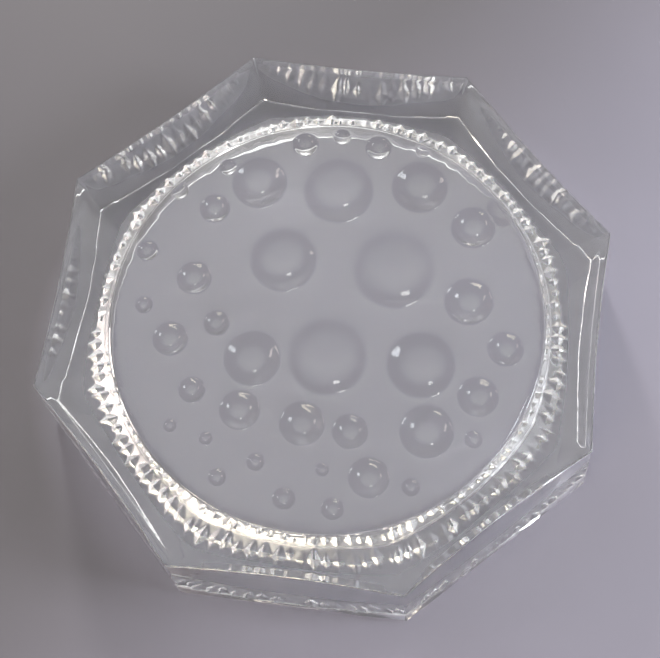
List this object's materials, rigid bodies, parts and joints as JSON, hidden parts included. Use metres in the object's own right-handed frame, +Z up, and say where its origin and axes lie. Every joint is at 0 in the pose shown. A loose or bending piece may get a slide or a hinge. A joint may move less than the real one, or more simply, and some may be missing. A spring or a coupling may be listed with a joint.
{
  "type": "dish",
  "caption": "Small octagonal dish pressed from thick clear glass, with a shallow round well, bubble-like bosses under its floor and a flat standing ring round a deep recess.",
  "frame": {"origin": "centre of the plane that the dish stands on", "axes": "+Z up out of the well; the middles of four of the eight sides lie on the X and Y axes"},
  "size_m": [0.0934, 0.0934, 0.02],
  "materials": {
    "clear_glass": "clear, fire-polished, faintly rippled"
  },
  "bodies": {
    "root": {"glass_dish": "clear_glass"}
  },
  "joints": []
}
